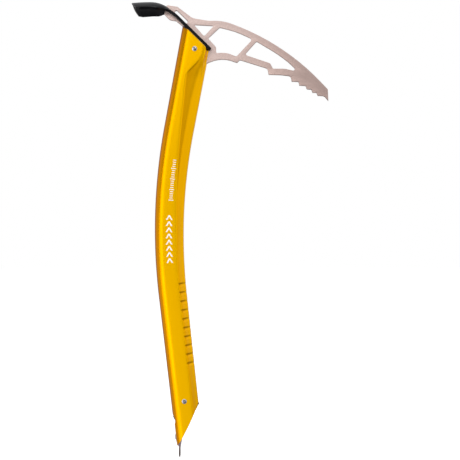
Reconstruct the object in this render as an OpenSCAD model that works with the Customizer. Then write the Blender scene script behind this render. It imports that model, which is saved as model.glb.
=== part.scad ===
// Short mountaineering ice axe: a steel head plate and an adze on a bent aluminium shaft.
// Frame: +X towards the pick, +Z up the shaft, Y across it. The origin is the middle of the hand grip.

/* [Shaft] */
// Depth of the shaft section from back to front, at the grip
grip_depth = 30.7; // [28:0.1:34]
// Growth of that depth for each millimetre up the shaft
depth_taper = 0.0101; // [0:0.0005:0.012]
// Width of the shaft across its flat sides
shaft_width = 19.4; // [18:0.1:22]
// Wall thickness of the shaft tube
wall = 1.4; // [1.2:0.1:1.6]
// Lean of the lower, straight part of the shaft
lower_lean = 6.4; // [5:0.1:8]
// Lean of the upper, straight part of the shaft
upper_lean = 10.65; // [9:0.05:12]
// Radius of the bend between the two straight parts
bend_radius = 607; // [580:1:640]
// Length from the middle of the grip up to the start of the bend
grip_to_bend = 31; // [25:1:40]
// Length along the shaft from the middle of the grip to the slanted top cut
cut_height = 314.4; // [312:0.1:317]
// Slope of the top cut, and of the adze strip that lies on it
cut_slope = 44.5; // [44:0.5:45]

/* [Grip] */
// Number of finger grooves across the front of the shaft
groove_count = 10; // [4:1:11]
// Distance from one groove to the next
groove_pitch = 9.7; // [9:0.1:10]
// Depth of a groove
groove_depth = 0.5; // [0.2:0.1:0.6]

/* [Head] */
// Thickness of the steel head plate
plate = 4; // [3:0.1:4.5]
// Length along the shaft from the middle of the grip to the head rivet
head_rivet_height = 301.5; // [299:0.1:303]
// Length along the shaft from the middle of the grip to the lower end of the tang
tang_end = 262; // [255:1:270]

/* [Adze] */
// Thickness of the adze sheet
adze_sheet = 3.2; // [2.4:0.1:3.4]
// Outer radius of the bend between the adze's strip and its blade
adze_bend = 34; // [32:1:36]
// Width of the adze at its cutting edge
adze_width = 49; // [44:1:54]
// How far the middle of the cutting edge stands ahead of its corners
edge_bow = 4.2; // [2:0.1:6]

/* [Spike] */
// Thickness of the steel spike plate
spike_plate = 3.2; // [2.5:0.1:4]
// Length along the shaft from the middle of the grip down to the spike rivet
spike_rivet_drop = 86.6; // [84:0.1:88]

/* [Rivets] */
// Radius of a rivet's shank
shank_r = 2.2; // [1.8:0.1:2.4]
// Radius of a rivet's head
rivet_head_r = 2.8; // [2.6:0.1:3.4]

/* [Hidden] */

$fn = 48;
gap = 0.1;               // clearance between fitted pieces
half_width = shaft_width / 2;
bend_turn = lower_lean + upper_lean;
bend_end = grip_to_bend + bend_radius * bend_turn * PI / 180;
adze_droop = 190;        // outer radius of the gentle curve along the adze's blade
adze_droop_turn = 6.3;
strip_front = 20.5;      // strip length ahead of the point where the cut crosses the shaft's middle
strip_back = 38.9;       // strip length behind that point, up to the adze's bend
fork_end_x = -13.5;      // closed end of the fork that straddles the head plate
back_slot = 9.2;         // width of the slot between the two ears at the shaft's lower end
slot_eye_r = 6.4;        // radius of the eye at the top of that slot
heel_height = 289.5;     // height of the head plate's heel along the shaft
back_corner = 324;         // height of the shaft's upper back corner, where the top cut is eased
back_ease = 10;          // how much flatter the eased stretch is than the top cut
edge_clear = 0.8;        // gap between the tang's edges and the inside of the tube

// ---- curves ----
function unit(v) = v / norm(v);
function wrap(a) = a > 180 ? a - 360 : a < -180 ? a + 360 : a;

// The points of one rounded corner b, with radius r, between its neighbours a and c
function corner(a, b, c, r) =
    let (
        to_a = unit([a[0] - b[0], a[1] - b[1]]),
        to_c = unit([c[0] - b[0], c[1] - b[1]]),
        half = acos(to_a * to_c) / 2,
        middle = [b[0], b[1]] + unit(to_a + to_c) * r / sin(half),
        first = [b[0], b[1]] + to_a * r / tan(half) - middle,
        last = [b[0], b[1]] + to_c * r / tan(half) - middle,
        start = atan2(first[1], first[0]),
        turn = wrap(atan2(last[1], last[0]) - start),
        steps = max(1, ceil(abs(turn) * (r > 20 ? 0.4 : 0.08)))
    )
    [for (i = [0:steps]) middle + r * [cos(start + turn * i / steps), sin(start + turn * i / steps)]];

// A closed outline from corners given as [x, z, radius]
function rounded(pts) =
    let (n = len(pts))
    [for (i = [0:n - 1]) let (p = pts[i])
        each p[2] == 0 ? [[p[0], p[1]]] : corner(pts[(i + n - 1) % n], p, pts[(i + 1) % n], p[2])];

// Square corners along an arc from a to b that stands out by rise at its middle, to the left of a-b
function bow(a, b, rise, steps = 6) =
    let (d = b - a, side = unit([-d[1], d[0]]))
    [for (i = [0:steps]) let (k = i / steps, p = a + d * k + side * rise * 4 * k * (1 - k)) [p[0], p[1], 0]];

// ---- shaft spine: a lower line, a bend and an upper line ----
function lean(s) = -lower_lean + bend_turn * min(1, max(0, (s - grip_to_bend) / (bend_end - grip_to_bend)));
function up(a) = [sin(a), cos(a)];
function ahead(a) = [cos(a), -sin(a)];
bend_start_at = grip_to_bend * up(-lower_lean);
bend_centre = bend_start_at + bend_radius * ahead(-lower_lean);
function spine(s) =
    s <= grip_to_bend ? s * up(-lower_lean)
    : s <= bend_end ? bend_centre - bend_radius * ahead(lean(s))
    : bend_centre - bend_radius * ahead(upper_lean) + (s - bend_end) * up(upper_lean);
// The place at height s along the shaft, u ahead of its middle line
function at(s, u) = spine(s) + u * ahead(lean(s));
function corner_at(s, u, r = 0) = let (p = at(s, u)) [p[0], p[1], r];
function depth(s) = grip_depth + depth_taper * s;

// ---- shaft section ----
// Where the flat side ends, as a share of the depth from the back
crease_line = [
    [-150, 0.745], [112, 0.745], [145, 0.69], [200, 0.583], [266, 0.413], [272, 0.4], [278, 0.485], [284, 0.61],
    [290, 0.72], [296, 0.75], [350, 0.755]
];
// Depth of the step at the crease, which runs out above the hook
drop_line = [[-150, 0.7], [286, 0.7], [296, 0.1], [350, 0.1]];
crease_run = 1.2;        // length of that step
recess_slope = 7;        // fall of the recessed flank towards the front
// Length of the tapering front facet, which gets shorter below the adze's strip
nose_line = [[-150, 8], [248, 8], [296, 3.4], [350, 3.4]];
nose_r = 3.4;            // radius along the front of the shaft
groove_half = 3.2;       // half the length of one groove along the shaft
grooves = [for (i = [0:groove_count - 1]) (i - (groove_count - 1) / 2) * groove_pitch - 2.85];

// Half of a section, from the back to the front, as [u, half width], set in by inset and cut by dent
function half_section(s, inset, dent) =
    let (
        d = depth(s) / 2,
        w = half_width - inset,
        crease = -d + depth(s) * lookup(s, crease_line),
        foot = crease + crease_run,
        low = w - lookup(s, drop_line),
        shoulder = max(d - lookup(s, nose_line), foot + 0.4),
        high = low - (shoulder - foot) * tan(recess_slope),
        nose = nose_r - inset * 0.6
    )
    concat(
        [for (i = [0:4]) [-d + inset + w * (1 - cos(i * 22.5)), w * sin(i * 22.5)]],
        [[crease, w], [foot, low], [shoulder, high - dent * 0.6]],
        [for (i = [2:-1:0]) [d - inset - dent - nose + nose * sin(90 - i * 28), nose * 1.15 * cos(90 - i * 28)]]
    );

// One closed ring of the shaft's surface
function ring(s, inset, dent) =
    let (half = half_section(s, inset, dent), n = len(half))
    [for (i = [0:2 * n - 3])
        let (h = i < n ? half[i] : half[2 * n - 2 - i], p = at(s, h[0]))
        [p[0], (i < n ? -1 : 1) * h[1], p[1]]];

// The end face of a ring of n points, as rungs between points i and n - 1 - i
function end_face(n) = [for (i = [0:n / 2 - 2]) each [[i, i + 1, n - 2 - i], [i, n - 2 - i, n - 1 - i]]];

// A closed solid through rings that all have n points
module skin(rings) {
    n = len(rings[0]);
    last = (len(rings) - 1) * n;
    polyhedron(
        [for (r = rings) each r],
        concat(
            end_face(n),
            [for (k = [0:n:last - n], i = [0:n - 1]) let (a = k + i, b = k + (i + 1) % n) each
                [[a, a + n, b], [b, a + n, b + n]]],
            [for (f = end_face(n)) [f[2] + last, f[1] + last, f[0] + last]]
        )
    );
}

plain_heights = concat([for (s = [66:18:102]) s], [112, 128, 145], [for (s = [163:17:248]) s]);
hook_heights = [266, 272, 278, 284, 290, 296, 345];
groove_rings = concat(
    [[-150, 0], [-60, 0]],
    [for (g = grooves) each [[g - groove_half, 0], [g - 1, 1], [g + 1, 1], [g + groove_half, 0]]],
    [for (s = concat(plain_heights, hook_heights)) [s, 0]]
);

module shaft_solid() {
    skin([for (r = groove_rings) ring(r[0], 0, r[1] * groove_depth)]);
}

// The hollow of the tube between two heights, less a clearance
module shaft_hollow(low, high, clear = 0) {
    inner = concat([low], [for (s = concat([-60, 31, 48], plain_heights, hook_heights)) if (s > low && s < high) s], [high]);
    skin([for (s = inner) ring(s, wall + clear, 0)]);
}

// Turns a flat outline in X and Z into a plate of thickness t about the middle plane
module upright(t) {
    rotate([90, 0, 0]) linear_extrude(t, center = true) children();
}

// Everything above the slanted top cut, raised by lift
module above_cut(lift = 0) {
    c = at(cut_height, 0);
    translate([c[0], 0, c[1]]) rotate([0, cut_slope, 0]) translate([-80, -40, lift]) cube([160, 80, 80]);
}

// The wedge above the eased stretch of the cut, over the shaft's back wall
module back_wedge() {
    c = at(back_corner, -depth(back_corner) / 2);
    translate([c[0], 0, c[1]]) rotate([0, cut_slope - back_ease, 0]) translate([-20, -40, 0]) cube([60, 80, 20]);
}

// Everything below the slanted lower cut, with a blunt tip, moved out by lift
module below_cut(lift = 0) {
    upright(60) polygon([
        at(-91 + 60 * 1.2, 15 + 60 * 0.74) + [lift, 0],
        at(-91, 15) + [lift, -lift / 2],
        at(-112, 2.9) + [lift, -lift / 2],
        at(-129.4, -8.6) + [lift, -lift / 2],
        at(-135.2, -13.7) - [0, lift],
        at(-136.8, -25) - [0, lift],
        at(-190, -25),
        at(-190, 60)
    ]);
}

module rivet(s, u) {
    p = at(s, u);
    reach = half_width + 0.02;
    dome = 0.75;
    profile = [
        [0, 0], [shank_r, 0], [shank_r, reach], [rivet_head_r, reach], [rivet_head_r, reach + 0.25],
        [rivet_head_r - 0.35, reach + dome], [1.5, reach + dome], [1.1, reach + dome - 0.6], [0, reach + dome - 0.6]
    ];
    translate([p[0], 0, p[1]]) for (side = [-90, 90]) rotate([side, 0, 0]) rotate_extrude() polygon(profile);
}

module rivet_bore(s, u, clear) {
    p = at(s, u);
    translate([p[0], 0, p[1]]) rotate([90, 0, 0]) cylinder(h = 60, r = shank_r + clear, center = true);
}

// ---- pieces ----
module shaft_tube() {
    heel = at(heel_height, depth(heel_height) / 2);
    slot_foot = at(-100, -depth(-100) / 2);
    color("#f0b80a") difference() {
        shaft_solid();
        shaft_hollow(-155, 350);
        above_cut();
        back_wedge();
        below_cut();
        translate([heel[0], 0, heel[1] + 20]) rotate([0, upper_lean, 0]) translate([0, 0, -0.2])
            cube([9, plate + 2 * gap, 40], center = true);
        translate([slot_foot[0], 0, slot_foot[1]]) rotate([0, -lower_lean, 0])
            translate([-5, -back_slot / 2, -60]) cube([12, back_slot, 60 - slot_eye_r]);
        translate([slot_foot[0], 0, slot_foot[1]]) rotate([0, 90 - lower_lean, 0])
            translate([slot_eye_r, 0, -5]) cylinder(h = 12, r = slot_eye_r);
        rivet_bore(head_rivet_height, 1, 0.05);
        rivet_bore(-spike_rivet_drop, 0, 0.05);
    }
}

function tang(s) = [-depth(s) / 2 + wall + edge_clear, depth(s) / 2 - wall - edge_clear];

head_outline = rounded(concat(
    // the upper edge, from the nose above the adze to the beak
    [[-9.8, 348, 1.6], [1.8, 346.2, 3], [18.4, 333.6, 12], [36, 330.7, 40], [51.5, 331, 56]],
    [[118.1, 306.9, 254], [167, 255.4, 2], [167.5, 242.9, 0], [163.2, 248.2, 5]],
    // the teeth and the hook behind them
    [[156, 248.5, 0], [154.7, 251.8, 1.2], [150.3, 251.9, 0], [149, 255.3, 1.2], [144, 255.7, 0]],
    [[142.7, 259.3, 1.2], [135.8, 259.8, 0], [135, 263.8, 1.2], [127.4, 264.1, 0], [126.2, 270, 3.2]],
    [[115.1, 271.3, 20], [102, 271.7, 0.8], [100.8, 278.3, 3.6], [70.3, 287.8, 1.6], [67.4, 284.7, 1.4]],
    // the finger rest and the heel
    bow([65, 285.4], [37, 285.2], -3.1),
    [corner_at(heel_height, depth(heel_height) / 2 + 0.3)],
    // the tang
    [corner_at(heel_height, tang(heel_height)[1]), corner_at(tang_end + 8, tang(tang_end + 8)[1], 4)],
    [corner_at(tang_end, 6, 4), corner_at(tang_end, -6, 4), corner_at(tang_end + 8, tang(tang_end + 8)[0], 4)],
    [corner_at(back_corner + 1.2, tang(cut_height)[0]), corner_at(back_corner + 0.6, -depth(cut_height) / 2 - 0.1)],
    // the lobe below the adze
    [[0.2, 330.6, 2], [-6.6, 331.6, 6], [-12.8, 338, 1], [-11.5, 342.5, 0]]
));
slit_window = let (c = at(cut_height, 0), t = ahead(cut_slope), n = up(cut_slope))
    rounded([for (k = [[-37.2, 3.2], [-18.8, 3.2], [-18.8, 7], [-37.2, 7]]) let (p = c + k[0] * t + k[1] * n) [p[0], p[1], 1.7]]);
corner_window = rounded([[19.8, 326.4, 0.7], [41.6, 325.2, 0.7], [31.2, 313.6, 1.8]]);
hook_window = rounded(concat(
    [[48.2, 323.4, 2]], bow([58, 321], [72, 316.2], 0.4, 2), [[84.4, 310.6, 2.4], [66.6, 291.5, 2], [56, 295.7, 20]],
    [[44.4, 295.5, 0.9], [44.2, 301.9, 2], [35.4, 311.4, 1.2]]
));
long_window = rounded(concat(
    [[88.7, 308.2, 2]], bow([98.2, 302.5], [124, 285], 0.7, 4), [[134.9, 274.7, 1.8], [119.5, 278.2, 30]],
    [[106.7, 278.2, 0.8], [103.6, 284.1, 3.5], [75.6, 293.5, 2]]
));

module head_plate() {
    color("#cbb0a8") difference() {
        upright(plate) polygon(head_outline);
        for (w = [slit_window, corner_window, hook_window, long_window]) upright(plate + 2) polygon(w);
        rivet_bore(head_rivet_height, 1, 0.1);
    }
}

// ---- adze: q runs along its outer surface from the start of the bend, positive towards the blade ----
adze_turn = adze_bend * cut_slope * PI / 180;
adze_len = adze_turn + adze_droop * adze_droop_turn * PI / 180;
function adze_angle(q) =
    q <= 0 ? -cut_slope : q < adze_turn ? -cut_slope + q / adze_turn * cut_slope
    : (q - adze_turn) / adze_droop * 180 / PI;
adze_start = at(cut_height, 0) - strip_back * ahead(cut_slope) + adze_sheet * up(cut_slope);
adze_hub = adze_start - adze_bend * up(cut_slope);
adze_blade_hub = adze_hub + [0, adze_bend - adze_droop];
function adze_top(q) =
    q <= 0 ? adze_start - q * ahead(cut_slope)
    : q < adze_turn ? adze_hub + adze_bend * up(-adze_angle(q))
    : adze_blade_hub + adze_droop * up(-adze_angle(q));
// Half width, height of the arch and thickness along the adze
adze_half = adze_width / 2;
strip_end = -strip_back - strip_front;
half_line = [
    [strip_end, half_width - 3], [strip_end + 1, half_width - 1], [strip_end + 3, half_width], [1, half_width],
    [4, half_width + 0.5], [8, half_width + 2.5], [12, adze_half - 7.6], [15.5, adze_half - 4.3],
    [21, adze_half - 2.5], [33, adze_half - 1.1], [adze_len, adze_half]
];
arch_line = [[-6, 0.02], [3, 1.9], [8, 5], [12, 7.4], [16, 8.3], [21, 8.7], [33, 9], [adze_len, 9.2]];
sheet_line = [[adze_len - 6, adze_sheet], [adze_len, 0.9]];

function adze_ring(q, steps = 8) =
    let (
        w = lookup(q, half_line),
        rise = lookup(q, arch_line),
        r = (w * w + rise * rise) / 2 / rise,
        swing = asin(w / r),
        sheet = lookup(q, sheet_line),
        top = [for (j = [-1:2 / steps:1]) [r * sin(swing * j), r * (1 - cos(swing * j)), j]],
        under = [for (j = [1:-2 / steps:-1]) [(r - sheet) * sin(swing * j), r - (r - sheet) * cos(swing * j), j]]
    )
    [for (k = concat(top, under))
        let (
            back = edge_bow * pow(k[2], 4) * max(0, q - 14) / (adze_len - 14),
            p = adze_top(q - back) - k[1] * up(-adze_angle(q - back))
        )
        [p[0], k[0], p[1]]];

module adze() {
    heights = concat(
        [strip_end, strip_end + 1, strip_end + 3, -6, 0],
        [for (q = [4:3:34]) q],
        [adze_len - 6, adze_len]
    );
    color("#2b2b2e") difference() {
        skin([for (q = heights) adze_ring(q)]);
        translate([fork_end_x, -plate / 2 - gap, 270]) cube([60, plate + 2 * gap, 100]);
    }
}

// ---- nylon inserts that pack the tube round the tang ----
module head_insert(side) {
    color("#1d1d1f") difference() {
        shaft_hollow(tang_end - 6, 345, gap);
        above_cut(-gap);
        translate([-100, side > 0 ? -50 : -plate / 2 - gap, 200]) cube([250, 50 + plate / 2 + gap, 200]);
        rivet_bore(head_rivet_height, 1, 0.1);
    }
}
module head_insert_left() { head_insert(-1); }
module head_insert_right() { head_insert(1); }

// ---- nylon plug halves that hold the spike ----
module end_plug(side) {
    fin = rounded([
        corner_at(-101.9, -14.6, 0.6), corner_at(-108, -12.2, 4), corner_at(-124, -12, 3),
        corner_at(-122, -6, 0), corner_at(-101.9, -6, 0)
    ]);
    lip = rounded([
        corner_at(-88, 6, 0), corner_at(-88, 11.5, 0), corner_at(-94.8, 11.9, 0), corner_at(-95.8, 12.3, 0),
        corner_at(-91.3, 14.9, 0), corner_at(-91.5, 15.5, 0.3), corner_at(-99.4, 10.3, 0.8), corner_at(-102, 4, 0)
    ]);
    color("#1d1d1f") difference() {
        union() {
            difference() {
                shaft_hollow(-140, -64, gap);
                below_cut(-0.8);
            }
            upright(back_slot - 2 * gap) polygon(fin);
            upright(5.2) polygon(lip);
        }
        translate([-100, side > 0 ? -50 : -spike_plate / 2 - gap / 2, -200]) cube([200, 50 + spike_plate / 2 + gap / 2, 200]);
        rivet_bore(-spike_rivet_drop, 0, 0.1);
    }
}
module end_plug_left() { end_plug(-1); }
module end_plug_right() { end_plug(1); }

module spike() {
    outline = rounded([
        corner_at(-70, -6, 3), corner_at(-70, 6, 3), corner_at(-92, 8, 4), corner_at(-118, -3.4, 0),
        [6.5, -130.8, 2], [5.2, -138, 1], [5.15, -146.5, 0], [4.35, -149, 0.3], [3.4, -146.5, 0], [3.35, -137.2, 1],
        [0.9, -132.5, 2], [0.2, -129, 0.6], [-0.8, -128.2, 0.6], [-0.9, -124.4, 0.6], corner_at(-118, -11.4, 2),
        corner_at(-106, -9.5, 3)
    ]);
    color("#8a7a78") difference() {
        upright(spike_plate) polygon(outline);
        rivet_bore(-spike_rivet_drop, 0, 0.1);
    }
}

module head_rivet() { color("#d5d7dc") rivet(head_rivet_height, 1); }
module spike_rivet() { color("#d5d7dc") rivet(-spike_rivet_drop, 0); }

shaft_tube();
head_plate();
adze();
head_insert_left();
head_insert_right();
head_rivet();
end_plug_left();
end_plug_right();
spike();
spike_rivet();
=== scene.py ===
"""Ice axe: a gold anodised shaft, a blasted steel head plate, a black adze and a steel spike.

Lengths in this file are millimetres until a mesh is made, which is in metres. The frame is the
CAD's: +X towards the pick, +Z up the shaft, Y across it, and the origin in the middle of the grip.
"""
import math

import bmesh
import bpy
from mathutils import Matrix, Vector


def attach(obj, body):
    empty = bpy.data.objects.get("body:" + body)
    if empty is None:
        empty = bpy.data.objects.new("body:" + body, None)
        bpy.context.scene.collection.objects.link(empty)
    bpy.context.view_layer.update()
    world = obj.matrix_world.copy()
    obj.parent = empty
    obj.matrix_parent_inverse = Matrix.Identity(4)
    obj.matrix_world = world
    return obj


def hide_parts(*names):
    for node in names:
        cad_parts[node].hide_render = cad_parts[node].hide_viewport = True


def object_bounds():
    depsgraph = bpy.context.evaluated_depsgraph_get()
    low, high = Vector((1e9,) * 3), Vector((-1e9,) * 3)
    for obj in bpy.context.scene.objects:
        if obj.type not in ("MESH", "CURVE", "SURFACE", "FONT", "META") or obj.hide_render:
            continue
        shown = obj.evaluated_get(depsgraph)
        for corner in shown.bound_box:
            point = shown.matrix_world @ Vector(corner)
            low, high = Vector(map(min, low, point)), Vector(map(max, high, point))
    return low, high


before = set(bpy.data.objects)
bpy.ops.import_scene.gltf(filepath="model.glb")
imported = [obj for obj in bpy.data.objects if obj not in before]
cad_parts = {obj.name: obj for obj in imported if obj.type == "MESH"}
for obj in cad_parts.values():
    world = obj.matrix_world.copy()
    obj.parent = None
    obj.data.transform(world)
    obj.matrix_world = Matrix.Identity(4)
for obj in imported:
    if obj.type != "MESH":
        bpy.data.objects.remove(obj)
cad_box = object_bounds()
MM = 0.001


# ---------------------------------------------------------------- node trees as expressions
class Value:
    """A socket of a shader or geometry tree that works in a Python expression."""

    def __init__(self, tree, socket):
        self.tree = tree
        self.socket = socket

    def __add__(self, other):
        return self.tree.maths("ADD", self, other)

    def __sub__(self, other):
        return self.tree.maths("SUBTRACT", self, other)

    def __rsub__(self, other):
        return self.tree.maths("SUBTRACT", other, self)

    def __mul__(self, other):
        return self.tree.maths("MULTIPLY", self, other)

    def __truediv__(self, other):
        return self.tree.maths("DIVIDE", self, other)

    def __abs__(self):
        return self.tree.maths("ABSOLUTE", self)

    __radd__ = __add__
    __rmul__ = __mul__

    def eased(self, low, high):
        """0 below low and 1 above high, with a smooth step between them."""
        settings = {"interpolation_type": "SMOOTHSTEP"}
        ends = {"Value": self, "From Min": low, "From Max": high}
        return self.tree.node("ShaderNodeMapRange", settings, ends)


class Tree:
    """Adds nodes to a node tree, each with its settings and the values or links of its sockets."""

    def __init__(self, tree):
        self.nodes = tree.nodes
        self.links = tree.links

    def node(self, kind, settings=None, inputs=None, output=0):
        made = self.nodes.new(kind)
        for name, value in (settings or {}).items():
            if name == "stops":
                self.set_stops(made.color_ramp, value)
            else:
                setattr(made, name, value)
        for name, value in (inputs or {}).items():
            self.join(value, made.inputs[name])
        return Value(self, made.outputs[output])

    def join(self, value, socket):
        if isinstance(value, Value):
            self.links.new(value.socket, socket)
        else:
            socket.default_value = value

    def set_stops(self, ramp, stops):
        while len(ramp.elements) < len(stops):
            ramp.elements.new(1)
        for element, (place, colour) in zip(ramp.elements, stops):
            element.position = place
            element.color = (*colour, 1)

    def maths(self, operation, *values):
        return self.node("ShaderNodeMath", {"operation": operation}, dict(enumerate(values)))

    def vector_maths(self, operation, *values, output="Vector"):
        settings = {"operation": operation}
        return self.node("ShaderNodeVectorMath", settings, dict(enumerate(values)), output)

    def axis(self, vector, letter):
        return self.node("ShaderNodeSeparateXYZ", inputs={"Vector": vector}, output=letter)

    def blend(self, share, first, second):
        """The first colour where share is 0 and the second where it is 1."""
        inputs = {0: share, 6: first, 7: second}
        return self.node("ShaderNodeMix", {"data_type": "RGBA"}, inputs, output=2)


class Finish(Tree):
    """A material. Fixed values go on the shader's own sockets."""

    def __init__(self, name, **fixed):
        self.material = bpy.data.materials.new(name)
        self.material.use_nodes = True
        super().__init__(self.material.node_tree)
        self.shader = self.nodes["Principled BSDF"]
        for socket, value in fixed.items():
            self.shader.inputs[socket.replace("_", " ")].default_value = value
        self.place = self.node("ShaderNodeTexCoord", output="Object")

    def feed(self, **varying):
        for socket, value in varying.items():
            self.join(value, self.shader.inputs[socket.replace("_", " ")])
        return self.material

    def stretched(self, vector, across, along, up):
        inputs = {"Vector": vector, "Scale": (across, along, up)}
        return self.node("ShaderNodeMapping", inputs=inputs)

    def noise(self, vector, scale, detail=3, roughness=0.5):
        wanted = {"Vector": vector, "Scale": scale, "Detail": detail, "Roughness": roughness}
        return self.node("ShaderNodeTexNoise", inputs=wanted)

    def ramp(self, share, stops):
        return self.node("ShaderNodeValToRGB", {"stops": stops}, {"Fac": share})

    def attribute(self, name):
        return self.node("ShaderNodeAttribute", {"attribute_name": name}, output="Fac")

    def bump(self, height, depth):
        """A relief of that many millimetres."""
        return self.node("ShaderNodeBump", inputs={"Height": height, "Distance": depth * MM})


def colour(red, green, blue):
    return (red, green, blue, 1)


# ---------------------------------------------------------------- finishes
def gold_anodised():
    """Drawn aluminium tube, lightly blasted and anodised gold, with faint draw lines, painted shade
    that deepens the gold round the back and in the recesses, and painted shade in the finger
    grooves.
    """
    m = Finish("gold_anodised_tube", Metallic=1.0)
    lay = m.node("ShaderNodeUVMap", {"uv_map": "lay"})
    lines = m.noise(m.stretched(lay, 900, 14, 1), 1, 4, 0.6)
    broad = m.noise(m.stretched(lay, 60, 9, 1), 1, 2)
    grain = m.noise(m.place, 2600, 2)
    scuffs = m.noise(m.stretched(lay, 380, 60, 1), 1, 5, 0.7).eased(0.66, 0.74)
    rim = m.attribute("rim")
    # painted shade: a deeper, more orange gold round the back and in the recesses, where the tube
    # is in shade
    base = m.blend(m.attribute("deep"), colour(0.95, 0.495, 0.0), colour(0.9, 0.27, 0.0))
    base = m.blend(broad.eased(0.3, 0.7) * 0.12, base, colour(0.84, 0.4, 0.0))
    base = m.blend(lines.eased(0.3, 0.7) * 0.1, base, colour(0.98, 0.6, 0.0))
    worn = rim * m.noise(m.place, 900, 3).eased(0.45, 0.6)
    base = m.blend(worn * 0.55, base, colour(0.93, 0.82, 0.55))
    # painted shade in the bottoms of the finger grooves, varied a little by the scuffs
    groove_painted_shade = m.attribute("groove").eased(0.3, 1.0) * (0.4 + scuffs * 0.2)
    base = m.blend(groove_painted_shade, base, colour(0.5, 0.18, 0.0))
    rough = 0.25 + lines * 0.07 + broad * 0.05 + scuffs * 0.08 - worn * 0.05
    relief = lines * 0.6 + grain * 0.4 - scuffs * 0.5
    return m.feed(Base_Color=base, Roughness=rough, Normal=m.bump(relief, 0.006))


def blasted_steel():
    """Steel with a blasted skin: fine pits, a mottled tone, and painted shade that darkens it
    towards the pick.
    """
    m = Finish("bead_blasted_steel", Metallic=1.0)
    towards_pick = m.axis(m.place, "X")
    cloud = m.noise(m.place, 38, 3)
    pits = m.noise(m.place, 2400, 3, 0.65)
    # painted shade darkening the plate towards the pick, with a random tone from the cloud
    tone_and_painted_shade = towards_pick.eased(0.03, 0.175) * 0.85 + cloud * 0.3 - 0.15
    rosy_to_painted_shade = [(0, (0.93, 0.74, 0.68)), (0.45, (0.79, 0.6, 0.54)), (1, (0.55, 0.41, 0.37))]
    base = m.ramp(tone_and_painted_shade, rosy_to_painted_shade)
    speckle = m.noise(m.place, 1150, 2, 0.6).eased(0.4, 0.66)
    pitted = pits.eased(0.35, 0.75) * 0.2 + speckle * 0.2
    base = m.blend(pitted, base, colour(0.45, 0.34, 0.3))
    long_marks = m.noise(m.stretched(m.place, 160, 900, 1500), 1, 4, 0.7)
    long_marks = long_marks.eased(0.68, 0.76)
    base = m.blend(long_marks * 0.2, base, colour(0.78, 0.68, 0.64))
    rough = 0.44 + pits * 0.16 - long_marks * 0.1
    return m.feed(Base_Color=base, Roughness=rough, Normal=m.bump(pits + cloud * 0.4, 0.02))


def black_anodised():
    """Hard black anodised sheet, glossy on top and a little grey where its edge was ground."""
    fixed = {"Metallic": 0.0, "Coat_Roughness": 0.12, "Specular_IOR_Level": 0.1}
    m = Finish("black_anodised_sheet", **fixed)
    edge = m.attribute("rim")
    cloud = m.noise(m.place, 55, 3)
    grain = m.noise(m.place, 1900, 3, 0.6)
    pressed = m.noise(m.stretched(m.place, 60, 420, 60), 1, 3)
    darkest, dark = colour(0.002, 0.002, 0.003), colour(0.006, 0.0055, 0.0065)
    base = m.blend(cloud.eased(0.35, 0.7), darkest, dark)
    near_cutting_edge = 1 - m.axis(m.place, "X").eased(-0.045, -0.036)
    ground = edge * m.noise(m.place, 700, 4).eased(0.42, 0.62) * near_cutting_edge
    base = m.blend(ground * 0.6, base, colour(0.16, 0.15, 0.15))
    rough = 0.2 + cloud * 0.1 + grain * 0.08 + ground * 0.12
    upward = m.axis(m.node("ShaderNodeTexCoord", output="Normal"), "Z")
    polished = upward.eased(0.2, 0.7) * (0.6 + cloud * 0.4)
    relief = m.bump(grain * 0.6 + pressed, 0.02)
    return m.feed(Base_Color=base, Roughness=rough, Coat_Weight=polished, Normal=relief)


def moulded_nylon():
    """Glass-filled nylon with a fine spark-eroded grain from its mould."""
    m = Finish("moulded_nylon", Metallic=0.0)
    grain = m.noise(m.place, 1500, 3, 0.7)
    flow = m.noise(m.stretched(m.place, 90, 90, 25), 1, 3)
    base = m.blend(flow, colour(0.011, 0.011, 0.012), colour(0.024, 0.023, 0.024))
    base = m.blend(grain.eased(0.55, 0.75) * 0.3, base, colour(0.05, 0.05, 0.052))
    rough = 0.46 + grain * 0.2
    return m.feed(Base_Color=base, Roughness=rough, Normal=m.bump(grain, 0.04))


def turned_steel(name, x, z):
    """Polished steel with the rings that the tool leaves, round a rivet's axis through x, z, with
    painted shade in the dish and on the lower right of the head.
    """
    m = Finish(name, Metallic=1.0)
    move = {"Vector": m.place, "Location": (-x * MM, 0, -z * MM)}
    centred = m.node("ShaderNodeMapping", inputs=move)
    flat = m.vector_maths("MULTIPLY", centred, (1, 0, 1))
    radius = m.vector_maths("LENGTH", flat, output="Value")
    rings = m.maths("SINE", radius * 34000)
    smear = m.noise(m.place, 800, 3)
    base = m.blend(smear, colour(0.6, 0.61, 0.65), colour(0.8, 0.81, 0.84))
    # painted shade in the dish of the head
    dish_painted_shade = 1 - radius.eased(0.0009, 0.0013)
    base = m.blend(dish_painted_shade * (0.5 + smear * 0.5), base, colour(0.09, 0.08, 0.09))
    # painted shade: a dark crescent on the lower right of the head
    low_side = m.vector_maths("DOT_PRODUCT", flat, (0.6, 0, -0.8), output="Value")
    lower_right_painted_shade = radius.eased(0.0007, 0.0012) * (1 - radius.eased(0.002, 0.0024))
    lower_right_painted_shade = lower_right_painted_shade * low_side.eased(-0.0004, 0.001)
    base = m.blend(lower_right_painted_shade * 0.9, base, colour(0.035, 0.03, 0.035))
    rough = 0.16 + smear * 0.12
    return m.feed(Base_Color=base, Roughness=rough, Normal=m.bump(rings, 0.0015))


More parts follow.
